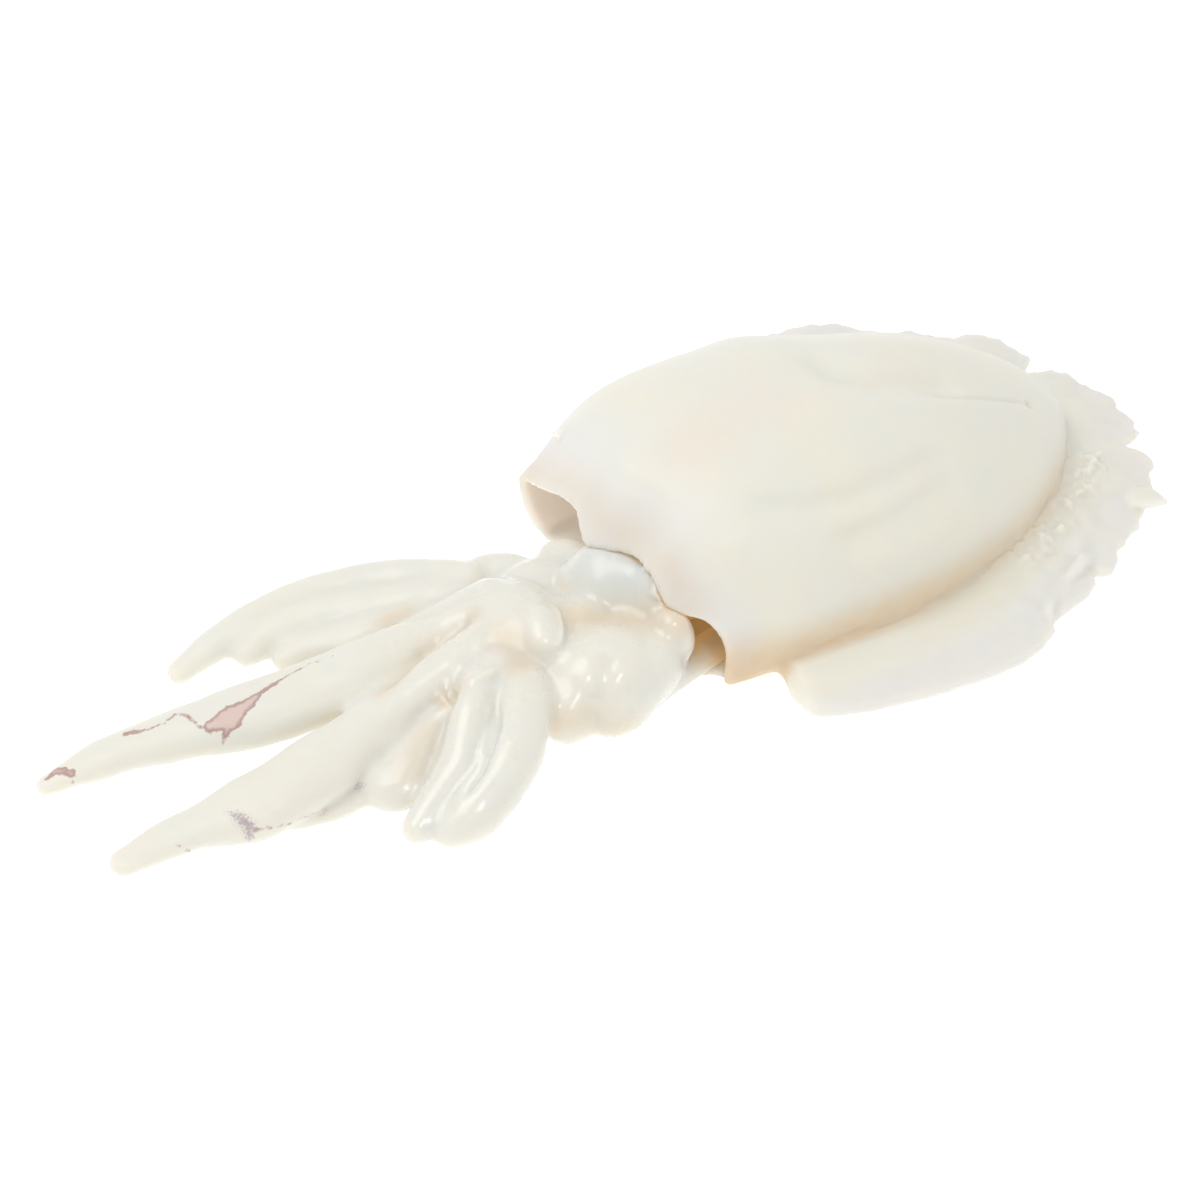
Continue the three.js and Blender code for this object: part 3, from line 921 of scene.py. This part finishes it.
# Painted amber shade, as path, width and strength: below the brow, the foot of the cheek, the crown, and
# grooves between the arms.
AMBER_SHADE_PLACES = [
    (
        [(-19.1, -19.9, 19.7), (-10.7, -23.8, 18), (-6.3, -26.3, 18), (-3.2, -29.6, 19.2), (1.5, -34, 19.5)],
        4.5, 0.55,
    ),
    ([(-33.8, -39.5, 10.5), (-29, -42, 10.5), (-25, -43.2, 7), (-18.8, -45.5, 6.5)], 4, 0.35),
    ([(-35.2, -19.6, 19.4), (-34.8, -22.8, 18.8), (-35.6, -27, 18.2)], 4, 0.5),
    (ARM_PIT, 3, 0.6),
    (LONG_GROOVE, 2.2, 0.4),
    ([(-59, -29, 11.5), (-63, -32.4, 10.5), (-67, -35.7, 9.2)], 5, 0.3),
    ([(-51.3, 5.4, 12.6), (-47.2, 5, 13.2)], 3, 0.5),
]
# The face and the near arms are wet, the far arms half as wet, and the ends of the long arms nearly dry.
WET_FACE, FAR_ARMS = (-75, -50), (0, 8)
WET_ARMS_X, WET_ARMS_Y = (-88, -80), (-30, -36)
FAR_ARMS_WET, DRIEST = 0.5, 0.15

x, y, _ = head_skin.points.T
head_skin.paint("milk", head_skin.near(*MILK))
# Painted shade in the head's hollows and grooves.
amber_shades = [strength * head_skin.near(path, width) for path, width, strength in AMBER_SHADE_PLACES]
head_skin.paint("shade", np.max(amber_shades, axis=0))
wet = np.maximum(ramp(x, *WET_FACE), ramp(y, *WET_ARMS_Y) * ramp(x, *WET_ARMS_X))
wet *= mix(1, FAR_ARMS_WET, ramp(y, *FAR_ARMS))
head_skin.paint("wet", np.maximum(wet, DRIEST))
print("amber places", len(AMBER_SHADE_PLACES), "wet", wet.mean().round(2))

# %% Scraps of skin
# Paths with half widths along them; a width below nothing leaves only specks.
RED_SCRAPS = [
    ([(-68, -0.8, 14.8), (-73, 0.1, 14.1), (-78, -0.4, 13.8), (-86, -2.1, 13.4)], [0.1, 0.3, 0.3, 0.7]),
    ([(-86, -2.1, 13.4), (-90, -3.5, 12.9), (-95, -4.2, 11.6), (-99, -3.5, 10.8)], [0.7, 1.6, 3, 1.6]),
    ([(-96, -5.7, 10.7), (-98, -7.2, 8.1)], [1.2, 0.4]),
    ([(-101, -2.3, 10.4), (-102, 1.7, 10.8), (-104, 4, 10.3), (-107, 3, 10.2)], [0.5, 0.4, 0.35, 0.3]),
    ([(-107, 3, 10.2), (-110, 3.3, 9.7), (-115, 5.6, 8.4)], [0.3, 0.4, 0.9]),
    ([(-134, 5.3, 4.7), (-131, 5.7, 5.2), (-129, 3.5, 5.5), (-129.5, 2, 4.2)], [0.5, 1.1, 1, 0.3]),
    (
        [(-103.1, -33.6, 7.6), (-100, -34.4, 7.3), (-95.4, -34.5, 6.5), (-89.9, -33.6, 5.7)],
        [0.6, 0.3, 0.25, 0.1],
    ),
    ([(-118.8, -28, 6), (-116.2, -28.9, 4.1)], [0.3, 0.5]),
]
PURPLE_SCRAPS = [
    ([(-106.5, -28, 9.9), (-105, -30.4, 9.5), (-104, -32.6, 8.5), (-104.4, -33.7, 6)], [0.5, 1.5, 1.6, 1]),
    ([(-92.9, -34.2, 6.5), (-89.8, -33.5, 5.2), (-86.5, -33, 4.3)], [0.2, 0.7, 0.4]),
    ([(-77.4, -31.5, 5.9), (-77.5, -31.5, 5.8)], [0.9, 0.9]),
    (
        [(-5.6, -5.2, 22.2), (-10.4, -7.3, 20.6), (-13.5, -7.4, 17.2), (-19.4, -14.2, 19.8)],
        [-0.4, 0, 0.1, -0.5],
    ),
]
OUTSIDE = -5.0


def inside_scraps(points, scraps):
    """How far inside the nearest scrap's edge each point lies; below nothing is outside."""
    inside = np.full(len(points), OUTSIDE)
    for path, half_widths in scraps:
        distance, along = distance_to_path(points, path)
        inside = np.maximum(inside, through(half_widths, along) - distance)
    return inside


for name, scraps in (("red", RED_SCRAPS), ("purple", PURPLE_SCRAPS)):
    inside = inside_scraps(head_skin.points, scraps)
    head_skin.paint(name, inside)
    print(name, "scraps cover", int((inside > 0).sum()), "points")

# %% [markdown]
# ## Flesh
# Skinned flesh is ivory, it lets light a few millimetres in, and a wet film lies over it. What both pieces
# share is worked out in shader groups: one gives the flesh its tone, with painted amber shade and painted glow
# in its hollows, one its film, and one lays the scraps of skin on top. The shader itself stays in each
# material.


# %% Shader helpers
def set_inputs(node, values):
    """Sets each input, or links it where the value is another node's output."""
    for socket, value in values.items():
        if isinstance(value, bpy.types.NodeSocket):
            node.id_data.links.new(value, node.inputs[socket])
        else:
            node.inputs[socket].default_value = value


def add_node(tree, kind, inputs=None, **settings):
    node = tree.nodes.new(kind)
    for name, value in settings.items():
        setattr(node, name, value)
    set_inputs(node, inputs or {})
    return node


def mixed(tree, share, first, second):
    """A colour between two."""
    return add_node(tree, "ShaderNodeMix", {0: share, 6: first, 7: second}, data_type="RGBA").outputs[2]


def sums(tree, operation, *values):
    return add_node(tree, "ShaderNodeMath", dict(enumerate(values)), operation=operation).outputs[0]


def stepped(tree, value, low, high, to_low=0.0, to_high=1.0):
    """Eases from one value to another while the input goes from low to high."""
    inputs = {"Value": value, "From Min": low, "From Max": high, "To Min": to_low, "To Max": to_high}
    return add_node(tree, "ShaderNodeMapRange", inputs, interpolation_type="SMOOTHSTEP").outputs[0]


def clouds(tree, vector, scale, detail):
    inputs = {"Vector": vector, "Scale": scale, "Detail": detail}
    return add_node(tree, "ShaderNodeTexNoise", inputs).outputs["Fac"]


def new_group(name, inputs, outputs):
    group = bpy.data.node_groups.new(name, "ShaderNodeTree")
    for way, sockets in (("INPUT", inputs), ("OUTPUT", outputs)):
        for socket, kind in sockets.items():
            group.interface.new_socket(name=socket, in_out=way, socket_type="NodeSocket" + kind)
    return group, group.nodes.new("NodeGroupInput").outputs, group.nodes.new("NodeGroupOutput").inputs


# %% Tone of the flesh, with painted shade and painted light
IVORY = (0.775, 0.765, 0.69, 1)
CREAM = (0.79, 0.765, 0.665, 1)
COOL_WHITE = (0.755, 0.75, 0.725, 1)
# Painted shade: hollows and the shaded flank are mixed towards this amber.
AMBER_SHADE = (0.69, 0.53, 0.34, 1)
PINK = (0.79, 0.735, 0.655, 1)
MILKY = (0.68, 0.70, 0.67, 1)
# Painted light: hollows glow faintly amber, and lantern places glow as if lit through the flesh.
HOLLOW_GLOW = (0.15, 0.085, 0.025, 1)
LANTERN = (0.24, 0.205, 0.17, 1)
DARK = (0, 0, 0, 1)
# Scale and detail of the clouds, then steps cut from clouds and shares: from, to, and what they give.
BROAD, FINE = (45.0, 2.0), (240.0, 4.0)
PATCHES = 0.35, 0.65
BLUSHING = 0.25, 0.6, 0.35, 0.9
SHELTERED = 0.12, 0.75
MOTTLED = 0.2, 0.8, 0.75, 1.0
MILKINESS = 0.9
SHARES = "Thin", "Shelter", "Shade", "Blush", "Milk", "Lantern"

tree, given, gives = new_group(
    "flesh_tone",
    dict(Vector="Vector", **dict.fromkeys(SHARES, "Float"), Coolness="Float"),
    dict(Color="Color", Glow="Color"),
)
broad = clouds(tree, given["Vector"], *BROAD)
fine = clouds(tree, given["Vector"], *FINE)
tone = mixed(tree, stepped(tree, broad, *PATCHES), IVORY, CREAM)
coolness = sums(tree, "MAXIMUM", given["Thin"], given["Coolness"])
tone = mixed(tree, coolness, tone, COOL_WHITE)
blushing = sums(tree, "MULTIPLY", given["Blush"], stepped(tree, broad, *BLUSHING))
tone = mixed(tree, blushing, tone, PINK)
tone = mixed(tree, sums(tree, "MULTIPLY", given["Milk"], MILKINESS), tone, MILKY)
# Painted shade: the sheltered share and the painted shade share turn the tone amber, mottled.
sheltered = stepped(tree, given["Shelter"], *SHELTERED)
warm_shade = sums(tree, "MAXIMUM", sheltered, given["Shade"])
warm_shade = sums(tree, "MULTIPLY", warm_shade, stepped(tree, fine, *MOTTLED))
tree.links.new(mixed(tree, warm_shade, tone, AMBER_SHADE), gives["Color"])
# Painted light: the emission makes hollows and lantern places glow.
glow = mixed(tree, sheltered, DARK, HOLLOW_GLOW)
tree.links.new(mixed(tree, given["Lantern"], glow, LANTERN), gives["Glow"])
tone_group = tree

# %% The wet film
# Least and greatest roughness, and the weight of the film, on dry and on wet flesh.
DRY, DRY_COAT = (0.42, 0.55), 0.04
WET, WET_COAT = (0.22, 0.38), 0.45
STREAKS, GRAIN = (120.0, 3.0), (900.0, 2.0)
STREAKED = 0.3, 0.7
STREAK_HEIGHT = 2.0

tree, given, gives = new_group(
    "wet_film",
    dict(Vector="Vector", Wet="Float"),
    dict(Roughness="Float", Coat="Float", Height="Float"),
)
streaks = clouds(tree, given["Vector"], *STREAKS)
dry, wet = (stepped(tree, streaks, *STREAKED, *limits) for limits in (DRY, WET))
tree.links.new(stepped(tree, given["Wet"], 0.0, 1.0, dry, wet), gives["Roughness"])
tree.links.new(stepped(tree, given["Wet"], 0.0, 1.0, DRY_COAT, WET_COAT), gives["Coat"])
grain = clouds(tree, given["Vector"], *GRAIN)
tree.links.new(sums(tree, "MULTIPLY_ADD", streaks, STREAK_HEIGHT, grain), gives["Height"])
film_group = tree

# %% Scraps of skin, cut from their distances
RED_INSIDE, RED_EDGE = (0.66, 0.50, 0.45, 1), (0.40, 0.22, 0.20, 1)
PURPLE_INSIDE, PURPLE_EDGE = (0.42, 0.35, 0.38, 1), (0.58, 0.50, 0.51, 1)
# Two tones, scale and depth of the wandering edge, where it fades in, and the cover.
SCRAP_KINDS = dict(
    Red=(RED_INSIDE, RED_EDGE, 700.0, 1.6, (-0.15, 0.35), 0.8),
    Purple=(PURPLE_INSIDE, PURPLE_EDGE, 2200.0, 4.5, (-0.5, 1.3), 0.75),
)
WANDER_DETAIL, WANDER_MIDDLE = 3.0, 0.5
EDGE_TO_INSIDE = 0.3, 1.2

tree, given, gives = new_group(
    "skin_scraps",
    dict(Vector="Vector", Color="Color", Red="Float", Purple="Float"),
    dict(Color="Color"),
)
tone = given["Color"]
for kind, (inside_tone, edge_tone, scale, depth, fade, cover) in SCRAP_KINDS.items():
    cloud = clouds(tree, given["Vector"], scale, WANDER_DETAIL)
    wander = sums(tree, "SUBTRACT", cloud, WANDER_MIDDLE)
    inside = sums(tree, "MULTIPLY_ADD", wander, depth, given[kind])
    covered = stepped(tree, inside, *fade, 0.0, cover)
    scrap_tone = mixed(tree, stepped(tree, inside, *EDGE_TO_INSIDE), edge_tone, inside_tone)
    tone = mixed(tree, covered, tone, scrap_tone)
tree.links.new(tone, gives["Color"])
scraps_group = tree

# %% Flesh materials
LIGHT_REACH = (1.0, 0.85, 0.7)
LIGHT_REACH_SCALE = 0.0025
FILM_IOR, FILM_ROUGHNESS = 1.36, 0.1
GRAIN_STRENGTH, GRAIN_DEPTH = 0.12, 0.0004
MANTLE_COOLNESS, HEAD_COOLNESS = 0.1, 0.3


def flesh(name, coolness, with_scraps=False):
    material = bpy.data.materials.new(name)
    material.use_nodes = True
    tree = material.node_tree
    where = add_node(tree, "ShaderNodeTexCoord").outputs["Object"]

    def from_group(group, *shares, **others):
        """What a group makes of the place, of shares painted on the points, and of other inputs."""
        inputs = {"Vector": where, **others}
        for share in shares:
            painted = add_node(tree, "ShaderNodeAttribute", attribute_name=share.lower())
            inputs[share] = painted.outputs["Fac"]
        return add_node(tree, "ShaderNodeGroup", inputs, node_tree=group).outputs

    tone = from_group(tone_group, *SHARES, Coolness=coolness)
    film = from_group(film_group, "Wet")
    colour = tone["Color"]
    if with_scraps:
        colour = from_group(scraps_group, "Red", "Purple", Color=colour)["Color"]
    grain = {"Strength": GRAIN_STRENGTH, "Distance": GRAIN_DEPTH, "Height": film["Height"]}
    inputs = {
        "Base Color": colour,
        "Roughness": film["Roughness"],
        "IOR": FILM_IOR,
        "Normal": add_node(tree, "ShaderNodeBump", grain).outputs["Normal"],
        "Subsurface Weight": 1.0,
        "Subsurface Radius": LIGHT_REACH,
        "Subsurface Scale": LIGHT_REACH_SCALE,
        "Coat Weight": film["Coat"],
        "Coat Roughness": FILM_ROUGHNESS,
        # Painted light from hollows and lantern places.
        "Emission Color": tone["Glow"],
        "Emission Strength": 1.0,
    }
    set_inputs(tree.nodes["Principled BSDF"], inputs)
    return material


# %% Into the frame
def finish_piece(piece, material, node):
    piece.data.transform(to_frame)
    piece.data.polygons.foreach_set("use_smooth", [True] * len(piece.data.polygons))
    piece.data.materials.clear()
    piece.data.materials.append(material)
    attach(piece, "root")
    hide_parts(node)
    print(piece.name, "stands for", node)


finish_piece(mantle, flesh("mantle_flesh", MANTLE_COOLNESS), "mantle")
finish_piece(head, flesh("head_flesh", HEAD_COOLNESS, with_scraps=True), "head")

# %% [markdown]
# ## The table, the light and the camera
# The animal is seen on pure white with hardly any shadow. A plain board would turn grey where the animal
# shades it, so the table gives some light of its own, as a light table does. A white sky and a broad lamp show
# the soft forms, a small lamp makes glints on the wet flesh, and the camera's long lens keeps perspective low.

# %% The light table
TABLE_HALF_SIZE = 3
# A hair below the flesh, so that the two never share a surface.
TABLE_TOP = -0.0003
TABLE_TONE, TABLE_ROUGHNESS, TABLE_GLOW = (0.7, 0.7, 0.7, 1), 0.6, 0.6
WHITE = (1, 1, 1, 1)

floor_form = bmesh.new()
bmesh.ops.create_grid(floor_form, x_segments=1, y_segments=1, size=TABLE_HALF_SIZE)
bmesh.ops.translate(floor_form, vec=(0, 0, TABLE_TOP), verts=floor_form.verts)
floor = new_piece("table", floor_form)
white = bpy.data.materials.new("white_table")
white.use_nodes = True
glow = {"Emission Color": WHITE, "Emission Strength": TABLE_GLOW}
board = {"Base Color": TABLE_TONE, "Roughness": TABLE_ROUGHNESS}
set_inputs(white.node_tree.nodes["Principled BSDF"], board | glow)
floor.data.materials.append(white)
print("table", 2 * TABLE_HALF_SIZE, "m wide")

# %% The sky and the lamps
SKY_STRENGTH = 0.69
# Azimuth and elevation in degrees, distance and size in metres, and watts.
LAMPS = dict(overhead=(-120, 70, 0.9, 0.6, 2.8), glint=(-10, 60, 0.8, 0.2, 0.75))


def direction(azimuth, elevation):
    """Out from the animal, by degrees; azimuth 0 is the near side and 90 the tail."""
    turn, rise = math.radians(azimuth), math.radians(elevation)
    level = math.cos(rise)
    return Vector((math.sin(turn) * level, -math.cos(turn) * level, math.sin(rise)))


def aim(thing, place, target):
    thing.location = place
    thing.rotation_euler = (target - place).to_track_quat("-Z", "Y").to_euler()


scene = bpy.context.scene
scene.view_settings.view_transform = "Standard"
scene.world = bpy.data.worlds.new("studio")
scene.world.use_nodes = True
set_inputs(scene.world.node_tree.nodes["Background"], {"Color": WHITE, "Strength": SKY_STRENGTH})
mouth = to_frame @ Vector()
for name, (azimuth, elevation, distance, size, watts) in LAMPS.items():
    lamp = bpy.data.lights.new(name, "AREA")
    lamp.shape = "DISK"
    lamp.size = size
    lamp.energy = watts
    holder = bpy.data.objects.new(name, lamp)
    scene.collection.objects.link(holder)
    aim(holder, mouth + direction(azimuth, elevation) * distance, mouth)
print("lamps", list(LAMPS))

# %% The camera
CAMERA_AZIMUTH, CAMERA_ELEVATION = -30, 42
CAMERA_DISTANCE = 0.765
CAMERA_LENS, CAMERA_SENSOR = 100, 36

camera = bpy.data.objects.new("camera", bpy.data.cameras.new("camera"))
camera.data.lens = CAMERA_LENS
camera.data.sensor_width = CAMERA_SENSOR
scene.collection.objects.link(camera)
aim(camera, mouth + direction(CAMERA_AZIMUTH, CAMERA_ELEVATION) * CAMERA_DISTANCE, mouth)
scene.camera = camera
print("camera at", [round(c, 3) for c in camera.location])
